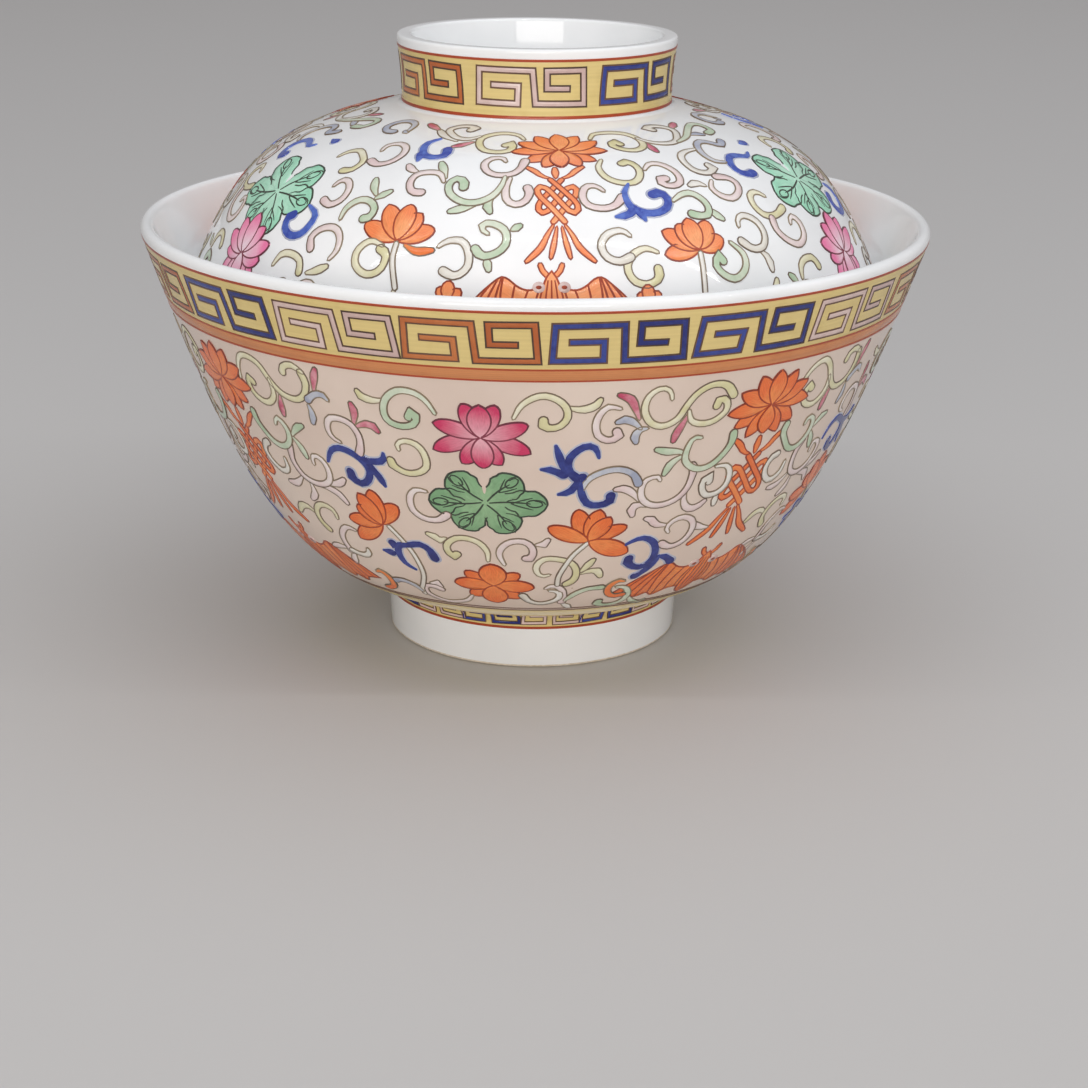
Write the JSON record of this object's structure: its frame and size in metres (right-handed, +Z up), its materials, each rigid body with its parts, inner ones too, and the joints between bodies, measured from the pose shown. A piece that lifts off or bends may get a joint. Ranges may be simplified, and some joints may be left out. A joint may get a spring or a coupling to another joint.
{
  "type": "covered rice bowl",
  "caption": "Footed porcelain rice bowl with a domed lid that rests inside its rim and lifts off by a ring handle.",
  "frame": {"origin": "centre of the foot ring's resting plane, under the bowl", "axes": "+Z up along the axis of the bowl and lid; X and Y level, with -Y towards the side where the rose lotus is painted"},
  "size_m": [0.116, 0.116, 0.0902],
  "materials": {
    "glazed_porcelain": "gloss",
    "bare_porcelain": "matte",
    "iron_red_enamel": "gloss",
    "rose_enamel": "gloss",
    "green_enamel": "gloss",
    "blue_enamel": "gloss",
    "yellow_enamel": "gloss",
    "pale_enamel": "gloss",
    "brown_line_enamel": "gloss"
  },
  "bodies": {
    "bowl": {"bowl": "glazed_porcelain"},
    "lid": {"lid": "glazed_porcelain"}
  },
  "joints": [
    {"name": "lid_lift", "type": "slide", "parent": "bowl", "child": "lid", "axis": [0, 0, 1], "range_m": [0, 0.08]}
  ]
}
